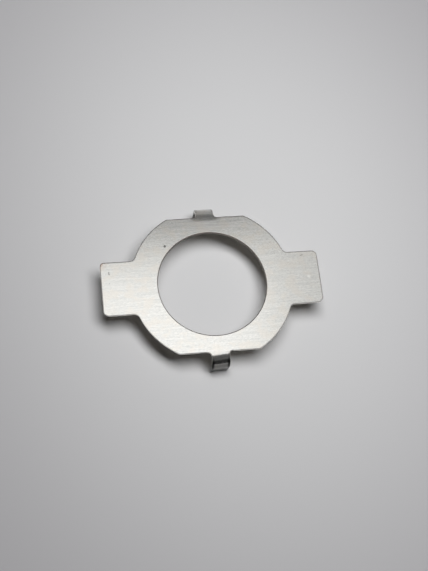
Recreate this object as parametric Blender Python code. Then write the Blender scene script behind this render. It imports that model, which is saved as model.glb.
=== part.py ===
"""Tab lock washer: a stamped and folded ring of satin sheet steel.

The washer is one piece. A flat blank carries a round hole, a ring cut straight
along two opposite sides, two wide wings on the long axis and two narrow tabs on
the cut sides. The narrow tabs are folded down square to the sheet.

Units are metres and +Z is up. The origin is on the axis of the hole, level with
the tips of the folded tabs, so the washer stands on z = 0. The wings lie along X.
"""
import math

import bmesh
import bpy
import numpy as np

# Sheet
sheet_thickness = 0.00105

# Ring
hole_diameter = 0.040
ring_diameter = 0.0602
side_cut = 0.0038
flat_corner_radius = 0.0008

# Wings
wing_span = 0.0812
wing_width = 0.0206
wing_corner_radius = 0.0022
wing_root_radius = 0.0021

# Folded tabs
tab_width = 0.0068
tab_root_radius = 0.0012
tab_tip_radius = 0.0016
fold_inner_radius = 0.0035
tab_drop = 0.0094

# Share of the thickness, from the inside of a fold, that keeps its length
neutral_share = 0.45

# Rounding that the punch leaves along the upper edges
roll_width = 0.00034
roll_depth = 0.00016

# Facets
arc_step_degrees = 7.5
hole_facets = 180
fold_facets = 12
roll_facets = 3

# Finish
steel_colour = (0.58, 0.58, 0.55, 1.0)
steel_roughness = 0.32

fold_outer_radius = fold_inner_radius + sheet_thickness
fold_neutral_radius = fold_inner_radius + neutral_share * sheet_thickness
fold_length = fold_neutral_radius * math.pi / 2
fold_start = ring_diameter / 2 - side_cut
leg_length = tab_drop - fold_outer_radius
blank_reach = fold_start + fold_length + leg_length


def arc(centre, radius, start, stop, side):
    """Points of an arc with the normals that face out of the sheet.

    Side is 1 where the sheet is inside the arc and -1 where it is outside it.
    """
    count = max(2, math.ceil(abs(stop - start) / math.radians(arc_step_degrees)))
    turn = np.linspace(start, stop, count + 1)
    ray = np.column_stack((np.cos(turn), np.sin(turn)))
    return np.column_stack((np.array(centre) + radius * ray, side * ray))


def quarter_outline():
    """One quarter of the blank's edge, from the end of a wing to the tip of a tab."""
    ring = ring_diameter / 2
    flat = ring - side_cut
    wing = wing_width / 2
    tab = tab_width / 2
    right = math.pi / 2

    end = wing_span / 2 - wing_corner_radius
    wing_corner = arc((end, wing - wing_corner_radius), wing_corner_radius, 0.0, right, 1)

    root_y = wing + wing_root_radius
    root_x = math.sqrt((ring + wing_root_radius) ** 2 - root_y ** 2)
    ring_start = math.atan2(root_y, root_x)
    wing_root = arc((root_x, root_y), wing_root_radius, 3 * right, math.pi + ring_start, -1)

    shoulder_y = flat - flat_corner_radius
    shoulder_x = math.sqrt((ring - flat_corner_radius) ** 2 - shoulder_y ** 2)
    ring_stop = math.atan2(shoulder_y, shoulder_x)
    ring_arc = arc((0.0, 0.0), ring, ring_start, ring_stop, 1)
    shoulder = arc((shoulder_x, shoulder_y), flat_corner_radius, ring_stop, right, 1)

    inner = (tab + tab_root_radius, flat + tab_root_radius)
    tab_root = arc(inner, tab_root_radius, 3 * right, math.pi, -1)
    tip = (tab - tab_tip_radius, blank_reach - tab_tip_radius)
    tab_tip = arc(tip, tab_tip_radius, 0.0, right, 1)
    return np.vstack((wing_corner, wing_root, ring_arc[1:], shoulder[1:], tab_root, tab_tip))


def whole_outline():
    """The blank's closed edge, made of the quarter and its mirror images in order."""
    quarter = quarter_outline()
    back = quarter[::-1]
    return np.vstack((
        quarter,
        back * (-1, 1, -1, 1),
        quarter * (-1, -1, -1, -1),
        back * (1, -1, 1, -1),
    ))


def hole_outline():
    """The edge of the hole, with normals that face its centre."""
    turn = np.arange(hole_facets) * 2 * math.pi / hole_facets
    ray = np.column_stack((np.cos(turn), np.sin(turn)))
    return np.column_stack((hole_diameter / 2 * ray, -ray))


def edge_profile():
    """Inset and height of the sheet's edge, from the upper face down to the lower one."""
    turn = np.linspace(0.0, math.pi / 2, roll_facets + 1)
    inset = roll_width * (1 - np.sin(turn))
    height = -roll_depth * (1 - np.cos(turn))
    return list(zip(inset, height)) + [(0.0, -sheet_thickness)]


def wall(mesh, outline, outward):
    """The edge faces along an outline and the loops of edges at its top and bottom."""
    rows = []
    for inset, height in edge_profile():
        place = outline[:, :2] - inset * outline[:, 2:]
        rows.append([mesh.verts.new((x, y, height)) for x, y in place])
    for upper, lower in zip(rows, rows[1:]):
        for near in range(len(upper)):
            far = (near + 1) % len(upper)
            corners = [upper[near], lower[near], lower[far], upper[far]]
            mesh.faces.new(corners if outward else corners[::-1])
    loops = []
    for row in (rows[0], rows[-1]):
        loops.append([mesh.edges.get((a, b)) for a, b in zip(row, row[1:] + row[:1])])
    return loops


def flat_blank():
    """The closed flat blank, with its upper face at z = 0."""
    mesh = bmesh.new()
    outer = wall(mesh, whole_outline(), True)
    inner = wall(mesh, hole_outline(), False)
    for outer_loop, inner_loop, up in zip(outer, inner, (1, -1)):
        edges = outer_loop + inner_loop
        bmesh.ops.triangle_fill(mesh, edges=edges, use_beauty=True, normal=(0, 0, up))
    bmesh.ops.recalc_face_normals(mesh, faces=mesh.faces)
    return mesh


def cut_fold_lines(mesh):
    """Edges across each tab where the facets of its fold meet."""
    for step in range(fold_facets + 1):
        reach = fold_start + fold_length * step / fold_facets
        for side in (-1, 1):
            everything = mesh.verts[:] + mesh.edges[:] + mesh.faces[:]
            bmesh.ops.bisect_plane(
                mesh, geom=everything, dist=1e-9,
                plane_co=(0, side * reach, 0), plane_no=(0, side, 0))


def fold(mesh):
    """Bend what lies beyond the fold lines down and stand the washer on its tips."""
    for vert in mesh.verts:
        x, y, z = vert.co
        beyond = abs(y) - fold_start
        if beyond > 0:
            turn = min(beyond, fold_length) / fold_neutral_radius
            leg = max(beyond - fold_length, 0.0)
            radius = fold_outer_radius + z
            out = fold_start + radius * math.sin(turn)
            y = math.copysign(out, y)
            z = radius * math.cos(turn) - fold_outer_radius - leg
        vert.co = (x, y, z + tab_drop)


def steel():
    """Satin rolled steel."""
    material = bpy.data.materials.new("satin_steel")
    material.use_nodes = True
    shader = material.node_tree.nodes["Principled BSDF"]
    shader.inputs["Base Color"].default_value = steel_colour
    shader.inputs["Metallic"].default_value = 1.0
    shader.inputs["Roughness"].default_value = steel_roughness
    return material


def washer():
    """The finished washer as one closed mesh."""
    mesh = flat_blank()
    cut_fold_lines(mesh)
    fold(mesh)
    bmesh.ops.triangulate(mesh, faces=mesh.faces)
    data = bpy.data.meshes.new("lock_washer")
    mesh.to_mesh(data)
    mesh.free()
    data.materials.append(steel())
    data.shade_smooth()
    data.set_sharp_from_angle(angle=math.radians(32))
    body = bpy.data.objects.new("lock_washer", data)
    bpy.context.collection.objects.link(body)
    return body


for old in list(bpy.data.objects):
    bpy.data.objects.remove(old, do_unlink=True)
washer()
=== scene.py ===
"""Looks of a tab lock washer of satin rolled steel on a pale floor.

Units are metres in the row frame: +Z up, the wings along X, the folded tabs along Y.
"""
import math

import bpy
import numpy as np
from mathutils import Matrix


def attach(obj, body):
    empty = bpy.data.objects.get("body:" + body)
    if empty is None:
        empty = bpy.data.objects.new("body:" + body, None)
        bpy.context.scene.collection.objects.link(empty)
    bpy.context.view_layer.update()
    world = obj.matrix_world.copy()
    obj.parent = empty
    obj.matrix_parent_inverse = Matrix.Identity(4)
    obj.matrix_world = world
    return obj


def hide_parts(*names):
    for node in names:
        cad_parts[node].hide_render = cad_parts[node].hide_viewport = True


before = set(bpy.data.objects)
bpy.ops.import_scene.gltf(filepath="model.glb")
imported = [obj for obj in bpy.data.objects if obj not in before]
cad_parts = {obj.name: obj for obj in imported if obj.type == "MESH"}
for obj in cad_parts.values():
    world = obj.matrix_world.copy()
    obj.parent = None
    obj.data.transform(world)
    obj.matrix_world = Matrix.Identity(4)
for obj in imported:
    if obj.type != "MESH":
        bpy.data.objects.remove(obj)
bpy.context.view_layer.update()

# Sizes of the solid that the finished surface stands for
SHEET = 0.00105
HOLE_RADIUS = 0.0201
RING_RADIUS = 0.0301
SIDE = 0.0263
WING_END = 0.0406
WING_SIDE = 0.0103
WING_ROOT = 0.0021
TAB_SIDE = 0.0034
TAB_ROOT = 0.0012
TAB_TIP = 0.0007
FOLD_LINE = SIDE + 0.0004
FOLD_INNER = 0.0035
NEUTRAL_SHARE = 0.45
FOLD_MIDDLE = FOLD_INNER + NEUTRAL_SHARE * SHEET
FOLD_TURN = math.radians(94.5)
FOLD_LENGTH = FOLD_MIDDLE * FOLD_TURN
MIDDLE_DEPTH = (1 - NEUTRAL_SHARE) * SHEET
TAB_DROP = 0.0094

# Half the stretch over which the curvature of a fold grows, and how far its pull spreads sideways
EASE = 0.0024
SPREAD = 0.0024

# Slope in plan of the bend of the front tab and of the rear tab
SLANTS = (0.07, 0.0)

# How far the wings lie towards the rear of the hole's axis
WING_SHIFT = 0.0002

# Radius of a wing's corner and of the corner by a tab, for each quarter in the order
# rear right, rear left, front left, front right
CORNERS = ((0.0020, 0.0012), (0.0013, 0.0005), (0.0022, 0.0006), (0.0022, 0.0009))

# Edges left by the punch: rounded above, a hair of burr below
ROLL_WIDTH = 0.00034
ROLL_DEPTH = 0.00016
ROLL_SUPPORT = ROLL_WIDTH + 0.00002
BURR = 0.00004

# How dull the rounding is on edges that face the front, against 1 on those that face the rear, and so
# how much painted shade they get
FRONT_DULL_AND_SHADE = 0.1

# Marks on the upper face and at its worn corner, as centre, radius and strength
DARK_MARKS = (
    ((-0.01619, 0.01555), 0.00062, 0.8),
    ((-0.03756, 0.00645), 0.00036, 0.6),
    ((-0.03750, 0.00585), 0.00036, 0.6),
    ((-0.03765, 0.0022), 0.00036, 0.3),
    ((0.03440, 0.0088), 0.00036, 0.35),
    ((0.03490, 0.0089), 0.00036, 0.35),
)
PALE_MARKS = (((0.03634, 0.00025), 0.0008, 0.28),)
RUST = (
    ((-0.0400, 0.0098), 0.0026, 0.14),
    ((-0.0403, 0.0099), 0.0012, 0.4),
    ((-0.0425, 0.0080), 0.0030, 0.35),
)

# Colours of the steel, from its darkest grain to its lightest and where it is warmer
GRAIN_DARK = (0.525, 0.525, 0.505, 1.0)
GRAIN_LIGHT = (0.665, 0.66, 0.635, 1.0)
GRAIN_WARM = (0.625, 0.59, 0.535, 1.0)
# Painted shade on the punched rounding and the hole's wall, strongest on edges that face the rear,
# mixed with the duller finish of a punched edge
ROLL_DULL_AND_SHADE = (0.13, 0.105, 0.09, 1.0)
# Painted highlight on the sheared outer wall, standing for the lit floor that it mirrors
WALL_PAINTED_SHEEN = (0.86, 0.84, 0.81, 1.0)
# Painted shade on the legs of the tabs, strongest on the front tab
LEG_PAINTED_SHADE = (0.02, 0.02, 0.018, 1.0)
# Painted shade along the side edges of the tabs
TAB_EDGE_PAINTED_SHADE = (0.015, 0.015, 0.013, 1.0)
MARK_DARK = (0.06, 0.055, 0.05, 1.0)
MARK_PALE = (0.95, 0.95, 0.93, 1.0)
MARK_RUST = (0.40, 0.27, 0.20, 1.0)

# Colours of the card as a painted pool of light, lit under the washer and shaded further out, and the
# middle of that pool
CARD_PAINTED_LIT = (0.804, 0.768, 0.7245, 1.0)
CARD_PAINTED_DIM = (0.480, 0.449, 0.436, 1.0)
POOL_MIDDLE = (0.012, 0.015, 0.0)
FLOOR_HALF = 12.0

# Level lamps that the metal mirrors, as name, left, right, front, rear and strength
SOFTBOX_HEIGHT = 1.0
SOFTBOXES = (
    ("softbox", -0.69, 0.24, -0.21, 0.42, 4.42),
    ("side_softbox", 0.24, 0.57, -0.20, 0.50, 2.1),
)

# Where the dark opening of the room lies along X, as seen in the bend of the front tab
OPENING_X = 0.17

# Grid
TOP_ROWS = 48
UNDER_ROWS = 22
ROLL_ROWS = 6
PATH_STEPS = 2000

# Length of flat blank that the UV map spreads over its whole square
UV_SPAN = 0.1


def arc(centre, radius, start, stop, side, count):
    """Centre plus radius times (cos, sin) of an even turn; the normal is the ray times side."""
    turn = np.linspace(start, stop, count, endpoint=False)
    ray = np.column_stack((np.cos(turn), np.sin(turn)))
    return np.column_stack((np.array(centre) + radius * ray, side * ray))


def line(start, stop, normal, count):
    """Start plus an even share of the way to stop, with one normal throughout."""
    share = np.linspace(0.0, 1.0, count, endpoint=False)[:, None]
    place = np.array(start) * (1 - share) + np.array(stop) * share
    return np.column_stack((place, np.tile(normal, (count, 1))))


def fold_path():
    """Length past the fold line, turn, reach and drop along the middle of a tab's sheet.

    The curvature grows evenly from nothing to one over the middle radius, from EASE
    before the line to EASE past it. Turn is its running sum over the length, and
    reach and drop are the running sums of the turn's cosine and sine.
    """
    length = np.linspace(-EASE, FOLD_LENGTH, PATH_STEPS)
    step = length[1] - length[0]
    curvature = np.minimum((length + EASE) / (2 * EASE), 1.0) / FOLD_MIDDLE
    turn = np.cumsum(curvature) * step
    turn *= FOLD_TURN / turn[-1]
    reach = np.cumsum(np.cos(turn)) * step - EASE
    drop = np.cumsum(np.sin(turn)) * step
    return length, turn, reach, drop


def leg_end():
    """How far out on the flat blank a tab ends, so that its outer edge just reaches the floor."""
    bend_drop = MIDDLE_DEPTH * (1 - math.cos(FOLD_TURN)) + fold_path()[3][-1]
    return FOLD_LINE + FOLD_LENGTH + (TAB_DROP - bend_drop) / math.sin(FOLD_TURN)


def quarter_edge(wing_side, wing_corner, shoulder):
    """Lines and arcs, tangent to each other, from the end of a wing to the tip of a tab.

    The last number of each is how many points it has.
    """
    right = math.pi / 2
    root_y = wing_side + WING_ROOT
    root_x = math.sqrt((RING_RADIUS + WING_ROOT) ** 2 - root_y ** 2)
    ring_start = math.atan2(root_y, root_x)
    shoulder_y = SIDE - shoulder
    shoulder_x = math.sqrt((RING_RADIUS - shoulder) ** 2 - shoulder_y ** 2)
    ring_stop = math.atan2(shoulder_y, shoulder_x)
    corner = (WING_END - wing_corner, wing_side - wing_corner)
    end = leg_end()
    tip = (TAB_SIDE - TAB_TIP, end - TAB_TIP)
    throat = (TAB_SIDE + TAB_ROOT, SIDE + TAB_ROOT)
    return np.vstack((
        line((WING_END, 0.0), (WING_END, corner[1]), (1, 0), 12),
        arc(corner, wing_corner, 0.0, right, 1, 12),
        line((corner[0], wing_side), (root_x, wing_side), (0, 1), 14),
        arc((root_x, root_y), WING_ROOT, 3 * right, math.pi + ring_start, -1, 10),
        arc((0.0, 0.0), RING_RADIUS, ring_start, ring_stop, 1, 40),
        arc((shoulder_x, shoulder_y), shoulder, ring_stop, right, 1, 5),
        line((shoulder_x, SIDE), (throat[0], SIDE), (0, 1), 18),
        arc(throat, TAB_ROOT, 3 * right, math.pi, -1, 10),
        line((TAB_SIDE, throat[1]), (TAB_SIDE, tip[1]), (1, 0), 14),
        arc(tip, TAB_TIP, 0.0, right, 1, 12),
        line((tip[0], end), (0.0, end), (0, 1), 4),
        [(0.0, end, 0.0, 1.0)],
    ))


def whole_edge():
    """Four quarters, mirrored in turn, each without the point that it shares with the last."""
    rear_right, rear_left = (quarter_edge(WING_SIDE + WING_SHIFT, *radii) for radii in CORNERS[:2])
    front_left, front_right = (quarter_edge(WING_SIDE - WING_SHIFT, *radii) for radii in CORNERS[2:])
    return np.vstack((
        rear_right,
        rear_left[::-1][1:] * (-1, 1, -1, 1),
        front_left[1:] * (-1, -1, -1, -1),
        front_right[::-1][1:-1] * (1, -1, 1, -1),
    ))


def section_rows():
    """One turn round the sheet's section, as (share, inset, height, dull_and_shade, outer_wall) rows.

    Share runs from 0 at the hole to 1 at the outer edge. Inset is how far a row
    lies inside the edge that is nearer, and height is measured from the upper face.
    The weight dull_and_shade is up to 1 where the punch rounded the edge and down the wall of the hole,
    which get a duller finish and painted shade, and outer_wall is 1 down the sheared wall outside,
    which gets a painted highlight.
    """
    turn = np.linspace(0.0, math.pi / 2, ROLL_ROWS + 1)
    inset = ROLL_WIDTH * (1 - np.sin(turn))
    height = -ROLL_DEPTH * (1 - np.cos(turn))
    outer_wall = np.clip(3 * turn / math.pi - 0.5, 0.0, 1.0)
    roll = np.column_stack((np.ones_like(turn), inset, height, np.sin(2 * turn), outer_wall))
    wall = np.array([
        (1.0, 0.0, -0.45 * SHEET, 0.0, 1.0),
        (1.0, 0.0, -SHEET + BURR, 0.0, 1.0),
        (1.0, 0.3 * BURR, -SHEET + 0.3 * BURR, 0.0, 1.0),
        (1.0, BURR, -SHEET, 0.0, 0.0),
        (1.0, 3 * BURR, -SHEET, 0.0, 0.0),
    ])
    support = [(1.0, ROLL_SUPPORT, 0.0, 0.0, 0.0)]
    outer = np.vstack((support, roll, wall))
    inner = outer[::-1] * (0, 1, 1, 1, 0)
    inner[inner[:, 2] < -0.5 * ROLL_DEPTH, 3] = 1.0
    share = np.linspace(0.0, 1.0, TOP_ROWS + 2)[1:-1, None]
    upper = np.hstack((share, np.zeros((TOP_ROWS, 4))))
    share = np.linspace(1.0, 0.0, UNDER_ROWS + 2)[1:-1, None]
    under = np.hstack((share, np.zeros((UNDER_ROWS, 4)))) - (0, 0, SHEET, 0, 0)
    return np.vstack((inner, upper, outer, under))


def folded(place):
    """Points of the flat blank carried along the path of the fold.

    A point sits square to the path at its length past the fold line, by its height
    over the middle of the sheet. Past the turn it runs straight along the leg. Beside
    a tab the pull fades with a smooth step, so that the sheet there stays flat. Past the
    start of the bend a tab is also moved along Y by its slant times X, so that its bend and
    its leg lie a little askew.
    """
    x, y, z = place[..., 0], place[..., 1], place[..., 2]
    length, turn, reach, drop = fold_path()
    past = np.abs(y) - FOLD_LINE
    angle = np.interp(past, length, turn, left=0.0)
    leg = np.maximum(past - FOLD_LENGTH, 0.0)
    over = z + MIDDLE_DEPTH
    out = np.interp(past, length, reach) + leg * math.cos(FOLD_TURN) + over * np.sin(angle)
    down = np.interp(past, length, drop, left=0.0) + leg * math.sin(FOLD_TURN) + MIDDLE_DEPTH
    high = over * np.cos(angle) - down
    side = np.clip((np.abs(x) - TAB_SIDE) / SPREAD, 0.0, 1.0)
    pull = np.where(past > -EASE, 1 - side * side * (3 - 2 * side), 0.0)
    askew = x * np.where(y < 0, *SLANTS) * np.clip((past + EASE) / EASE, 0.0, 1.0)
    return np.stack((
        x,
        y + pull * (np.copysign(FOLD_LINE + out, y) + askew - y),
        z + pull * (high - z) + TAB_DROP,
    ), axis=-1)


def washer_surface():
    """A closed grid: along the outer edge one way and round the sheet's section the other.

    Each column runs straight from the hole to the outer edge at the same polar angle.
    The edges that face the rear get more painted shade, and a duller finish, than those that face the
    front.
    A row's place is its share of that way, moved in from the edge along the edge's
    normal by the row's inset, and then the flat sheet is folded.
    """
    edge = whole_edge()
    rows = section_rows()
    angle = np.arctan2(edge[:, 1], edge[:, 0])
    ray = np.column_stack((np.cos(angle), np.sin(angle)))
    share = rows[:, 0][:, None, None]
    inset = rows[:, 1][:, None, None]
    out = edge[None, :, :2] - inset * edge[None, :, 2:]
    hole = HOLE_RADIUS * ray[None] + inset * ray[None]
    start = (HOLE_RADIUS + ROLL_SUPPORT) * ray[None]
    stop = edge[None, :, :2] - ROLL_SUPPORT * edge[None, :, 2:]
    flat = np.where(share == 0, hole, np.where(share == 1, out, start * (1 - share) + stop * share))
    height = np.broadcast_to(rows[:, 2][:, None, None], flat.shape[:2] + (1,))
    blank = np.concatenate((flat, height), axis=-1)
    finish = np.broadcast_to(rows[:, None, 3:], flat.shape[:2] + (2,)).copy()
    # Painted shade: edges that face the front keep only part of the dull finish and shade that those
    # facing the rear get
    rear = 0.5 + 0.5 * edge[:, 3]
    finish[rows[:, 0] == 1, :, 0] *= FRONT_DULL_AND_SHADE + (1 - FRONT_DULL_AND_SHADE) * rear
    return blank, folded(blank), finish


def grid_mesh(name, blank, place, finish):
    """Quads between neighbouring rows and columns, closed both ways.

    Their UV map is the flat blank, and the attributes dull_and_shade and outer_wall mark the punched
    edges, for a duller finish with painted shade, and the outer wall, for a painted highlight.
    """
    row_count, column_count = place.shape[:2]
    index = np.arange(row_count * column_count).reshape(row_count, column_count)
    next_row = np.roll(index, -1, axis=0)
    quads = np.stack((
        index,
        next_row,
        np.roll(next_row, -1, axis=1),
        np.roll(index, -1, axis=1),
    ), axis=-1).reshape(-1, 4)
    mesh = bpy.data.meshes.new(name)
    mesh.from_pydata(place.reshape(-1, 3), [], quads.tolist())
    chart = mesh.uv_layers.new(name="blank")
    spread = blank.reshape(-1, 3)[:, :2] / UV_SPAN + 0.5
    chart.data.foreach_set("uv", spread[quads.ravel()].ravel())
    for number, kind in enumerate(("dull_and_shade", "outer_wall")):
        values = finish[..., number].ravel()
        mesh.attributes.new(kind, "FLOAT", "POINT").data.foreach_set("value", values)
    mesh.shade_smooth()
    mesh.update()
    piece = bpy.data.objects.new(name, mesh)
    bpy.context.collection.objects.link(piece)
    return piece


def node(tree, kind, **values):
    """A new node with its properties set."""
    made = tree.nodes.new(kind)
    for name, value in values.items():
        setattr(made, name, value)
    return made


def ramp(tree, source, start, stop, low, high):
    """A smooth step of a value, from low at start to high at stop."""
    made = node(tree, "ShaderNodeMapRange", interpolation_type="SMOOTHSTEP")
    for name, value in (("From Min", start), ("From Max", stop), ("To Min", low), ("To Max", high)):
        made.inputs[name].default_value = value
    tree.links.new(source, made.inputs["Value"])
    return made.outputs["Result"]


def combine(tree, operation, first, second):
    """Two values put together by one sum, product or other operation."""
    made = node(tree, "ShaderNodeMath", operation=operation)
    tree.links.new(first, made.inputs[0])
    tree.links.new(second, made.inputs[1])
    return made.outputs[0]


def between(tree, amount, first, second):
    """The first value where the amount is 0 and the second where it is 1."""
    made = node(tree, "ShaderNodeMix")
    for name, value in (("Factor", amount), ("A", first), ("B", second)):
        tree.links.new(value, made.inputs[name])
    return made.outputs["Result"]


def blend(tree, amount, first, second):
    """The first colour where the amount is 0 and the second where it is 1."""
    made = node(tree, "ShaderNodeMix", data_type="RGBA")
    tree.links.new(amount, made.inputs["Factor"])
    for name, colour in (("A", first), ("B", second)):
        if isinstance(colour, tuple):
            made.inputs[name].default_value = colour
        else:
            tree.links.new(colour, made.inputs[name])
    return made.outputs["Result"]


def noise(tree, chart, along, across, detail):
    """Soft noise on the flat blank, with so many patches in 100 mm along and across the wings."""
    stretch = node(tree, "ShaderNodeMapping")
    stretch.inputs["Scale"].default_value = (along, across, 1.0)
    tree.links.new(chart, stretch.inputs["Vector"])
    made = node(tree, "ShaderNodeTexNoise", noise_dimensions="2D")
    made.inputs["Scale"].default_value = 1.0
    made.inputs["Detail"].default_value = detail
    tree.links.new(stretch.outputs[0], made.inputs["Vector"])
    return made.outputs["Fac"]


def spot(tree, place, centre, radius):
    """A round patch on the upper face: 1 inside half the radius, falling to 0 at the radius."""
    away = node(tree, "ShaderNodeVectorMath", operation="DISTANCE")
    away.inputs[1].default_value = (*centre, TAB_DROP)
    tree.links.new(place, away.inputs[0])
    return ramp(tree, away.outputs["Value"], 0.5 * radius, radius, 1.0, 0.0)


def satin_steel():
    """Rolled steel: fine grain and streaks along the wings and rougher at the edges; painted shade
    darkens the edges that face the rear, the hole's wall and the tabs' legs and side edges, and a
    painted highlight lightens the outer wall.
    """
    material = bpy.data.materials.new("satin_steel")
    material.use_nodes = True
    tree = material.node_tree
    shader = tree.nodes["Principled BSDF"]
    shader.inputs["Metallic"].default_value = 1.0

    chart = node(tree, "ShaderNodeUVMap", uv_map="blank").outputs[0]
    place = node(tree, "ShaderNodeTexCoord").outputs["Object"]
    streaks = noise(tree, chart, 9.0, 150.0, 3.0)
    grain = noise(tree, chart, 100.0, 190.0, 3.0)
    texture = node(tree, "ShaderNodeMix")
    texture.inputs["Factor"].default_value = 0.55
    tree.links.new(streaks, texture.inputs["A"])
    tree.links.new(grain, texture.inputs["B"])
    texture = texture.outputs["Result"]

    shade = ramp(tree, texture, 0.2, 0.8, 0.0, 1.0)
    colour = blend(tree, shade, GRAIN_DARK, GRAIN_LIGHT)
    warmth = ramp(tree, noise(tree, chart, 22.0, 26.0, 2.0), 0.4, 0.7, 0.0, 0.5)
    colour = blend(tree, warmth, colour, GRAIN_WARM)

    split = node(tree, "ShaderNodeSeparateXYZ")
    tree.links.new(place, split.inputs[0])
    x, y, z = split.outputs
    across = node(tree, "ShaderNodeMath", operation="ABSOLUTE")
    tree.links.new(x, across.inputs[0])
    reach = node(tree, "ShaderNodeMath", operation="ABSOLUTE")
    tree.links.new(y, reach.inputs[0])

    # Painted shade and a duller finish on the rounded edges and the hole's wall, darkest where they
    # face the rear
    dull_and_shade = node(tree, "ShaderNodeAttribute", attribute_name="dull_and_shade").outputs["Fac"]
    colour = blend(tree, ramp(tree, dull_and_shade, 0.0, 1.0, 0.0, 0.85), colour, ROLL_DULL_AND_SHADE)
    # Painted highlight down the sheared outer wall of the plate
    outer_wall = node(tree, "ShaderNodeAttribute", attribute_name="outer_wall").outputs["Fac"]
    painted_wall_sheen = combine(tree, "MULTIPLY", outer_wall, ramp(tree, z, 0.0075, 0.0083, 0.0, 1.0))
    colour = blend(tree, painted_wall_sheen, colour, WALL_PAINTED_SHEEN)

    # Painted shade on the tabs, full on the front tab and about a third on the rear one
    beyond = ramp(tree, reach.outputs[0], SIDE + 0.0001, SIDE + 0.0005, 0.0, 1.0)
    tab_shade = combine(tree, "MULTIPLY", beyond, ramp(tree, y, -0.01, 0.01, 1.0, 0.35))
    # Painted shade darkens the legs below the bends
    leg = combine(tree, "MULTIPLY", tab_shade, ramp(tree, z, 0.0078, 0.0066, 0.0, 0.70))
    colour = blend(tree, leg, colour, LEG_PAINTED_SHADE)
    # Painted shade along the side edges of the tab legs
    tab_edge_shade = combine(
        tree, "MULTIPLY",
        ramp(tree, outer_wall, 0.0, 1.0, 1.0, 0.0), ramp(tree, across.outputs[0], 0.0022, 0.0028, 0.0, 0.95))
    tab_edge_shade = combine(tree, "MULTIPLY", tab_edge_shade, ramp(tree, z, 0.0090, 0.0080, 0.0, 1.0))
    colour = blend(tree, combine(tree, "MULTIPLY", tab_shade, tab_edge_shade), colour, TAB_EDGE_PAINTED_SHADE)

    for marks, tint in ((DARK_MARKS, MARK_DARK), (PALE_MARKS, MARK_PALE), (RUST, MARK_RUST)):
        for centre, radius, amount in marks:
            mark = ramp(tree, spot(tree, place, centre, radius), 0.0, 1.0, 0.0, amount)
            colour = blend(tree, mark, colour, tint)
    tree.links.new(colour, shader.inputs["Base Color"])

    worn = ramp(tree, texture, 0.2, 0.8, 0.17, 0.19)
    rough = combine(tree, "ADD", worn, ramp(tree, dull_and_shade, 0.0, 1.0, 0.0, 0.2))
    tree.links.new(rough, shader.inputs["Roughness"])

    bump = node(tree, "ShaderNodeBump")
    bump.inputs["Strength"].default_value = 0.05
    bump.inputs["Distance"].default_value = 0.00002
    tree.links.new(texture, bump.inputs["Height"])
    tree.links.new(bump.outputs["Normal"], shader.inputs["Normal"])
    return material


def floor():
    """A wide level sheet of pale card, painted lighter under the washer and darker further out as a
    painted pool of light.

    Further out it glows softly, which makes up for the lamp's light that falls off there.
    """
    mesh = bpy.data.meshes.new("floor")
    corners = [(x * FLOOR_HALF, y * FLOOR_HALF, 0) for x, y in ((-1, -1), (1, -1), (1, 1), (-1, 1))]
    mesh.from_pydata(corners, [], [(0, 1, 2, 3)])
    card = bpy.data.materials.new("pale_card")
    card.use_nodes = True
    tree = card.node_tree
    shader = tree.nodes["Principled BSDF"]
    shader.inputs["Roughness"].default_value = 0.9
    shader.inputs["Specular IOR Level"].default_value = 0.2
    shader.inputs["Emission Color"].default_value = (0.5, 0.5, 0.5, 1.0)
    place = node(tree, "ShaderNodeTexCoord")
    narrow = node(tree, "ShaderNodeMapping")
    narrow.inputs["Scale"].default_value = (1.0, 0.75, 1.0)
    tree.links.new(place.outputs["Object"], narrow.inputs["Vector"])
    centre = node(tree, "ShaderNodeVectorMath", operation="DISTANCE")
    centre.inputs[1].default_value = POOL_MIDDLE
    tree.links.new(narrow.outputs[0], centre.inputs[0])
    # Painted pool of light: the card is lighter near the middle and darker further out
    away = ramp(tree, centre.outputs["Value"], 0.02, 0.17, 0.0, 1.0)
    tone = blend(tree, away, CARD_PAINTED_LIT, CARD_PAINTED_DIM)
    tree.links.new(tone, shader.inputs["Base Color"])
    glow = ramp(tree, centre.outputs["Value"], 0.05, 0.52, 0.0, 0.84)
    tree.links.new(glow, shader.inputs["Emission Strength"])
    mesh.materials.append(card)
    ground = bpy.data.objects.new("floor", mesh)
    bpy.context.collection.objects.link(ground)


def softboxes():
    """The wide lamps overhead that the metal mirrors: a bright one and a dimmer one beside it."""
    for name, left, right, front, rear, level in SOFTBOXES:
        light = bpy.data.lights.new(name, "AREA")
        light.shape = "RECTANGLE"
        light.size = right - left
        light.size_y = rear - front
        light.energy = level * light.size * light.size_y
        holder = bpy.data.objects.new(name, light)
        holder.location = ((left + right) / 2, (front + rear) / 2, SOFTBOX_HEIGHT)
        holder.visible_diffuse = False
        bpy.context.collection.objects.link(holder)


def lamp():
    """The broad lamp above and to the rear right that lights the floor and makes the soft shadow."""
    light = bpy.data.lights.new("lamp", "AREA")
    light.shape = "ELLIPSE"
    light.size = 0.46
    light.size_y = 0.20
    light.energy = 1.88
    light.color = (0.945, 0.99, 1.06)
    holder = bpy.data.objects.new("lamp", light)
    holder.location = (0.060, 0.052, 0.45)
    holder.rotation_euler.z = math.radians(-42)
    holder.visible_glossy = False
    bpy.context.collection.objects.link(holder)


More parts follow.
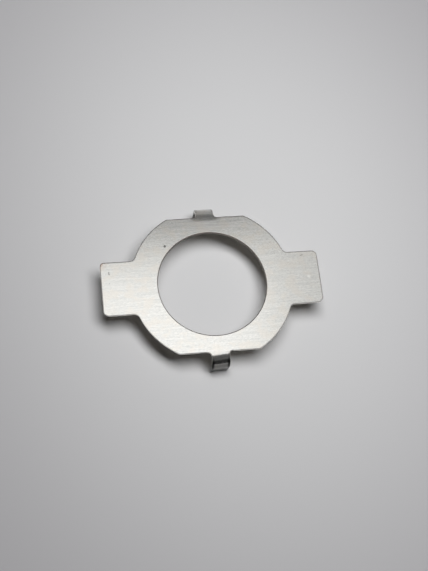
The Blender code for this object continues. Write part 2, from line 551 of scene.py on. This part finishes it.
def surroundings():
    """A pale studio for the eye, and for reflections a grey room.

    The room has a dark opening low in front and a little to the right, which the bend of
    the front tab mirrors. Beside it and behind, the grey falls off with height.
    """
    world = bpy.data.worlds.new("studio")
    bpy.context.scene.world = world
    world.use_nodes = True
    world.cycles_visibility.diffuse = False
    tree = world.node_tree
    room = tree.nodes["Background"]
    room.inputs["Color"].default_value = (1.0, 1.0, 1.0, 1.0)
    place = node(tree, "ShaderNodeTexCoord")
    split = node(tree, "ShaderNodeSeparateXYZ")
    tree.links.new(place.outputs["Generated"], split.inputs[0])
    x, y, z = split.outputs
    aside = node(tree, "ShaderNodeMath", operation="ABSOLUTE")
    sideways = node(tree, "ShaderNodeMath", operation="SUBTRACT")
    sideways.inputs[1].default_value = OPENING_X
    tree.links.new(x, sideways.inputs[0])
    tree.links.new(sideways.outputs[0], aside.inputs[0])

    opening = ramp(tree, z, 0.50, 0.72, 0.01, 0.12)
    corner = ramp(tree, z, 0.45, 0.80, 0.42, 0.12)
    behind = ramp(tree, z, 0.35, 0.70, 0.46, 0.22)
    front = between(tree, ramp(tree, aside.outputs[0], 0.10, 0.30, 0.0, 1.0), opening, corner)
    grey = between(tree, ramp(tree, y, -0.25, 0.2, 0.0, 1.0), front, behind)
    tree.links.new(grey, room.inputs["Strength"])

    pale = node(tree, "ShaderNodeBackground")
    pale.inputs["Color"].default_value = (0.42, 0.42, 0.42, 1.0)
    seen = node(tree, "ShaderNodeLightPath")
    choose = node(tree, "ShaderNodeMixShader")
    tree.links.new(seen.outputs["Is Camera Ray"], choose.inputs[0])
    tree.links.new(room.outputs[0], choose.inputs[1])
    tree.links.new(pale.outputs[0], choose.inputs[2])
    tree.links.new(choose.outputs[0], tree.nodes["World Output"].inputs["Surface"])


def camera():
    """The photograph's view: steep, from the front and a little to the left."""
    view = bpy.data.cameras.new("camera")
    view.sensor_width = 36.0
    view.lens = 68.48
    view.shift_y = -1 / 571
    holder = bpy.data.objects.new("camera", view)
    holder.matrix_world = Matrix((
        (0.98649, 0.06301, -0.15122, -0.05980),
        (-0.11153, 0.93445, -0.33819, -0.13538),
        (0.12000, 0.35049, 0.92885, 0.37947),
        (0.0, 0.0, 0.0, 1.0),
    ))
    bpy.context.collection.objects.link(holder)
    bpy.context.scene.camera = holder


camera()
washer = grid_mesh("washer", *washer_surface())
washer.data.materials.append(satin_steel())
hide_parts("lock_washer")
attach(washer, "root")
floor()
surroundings()
softboxes()
lamp()
bpy.context.scene.view_settings.view_transform = "Standard"
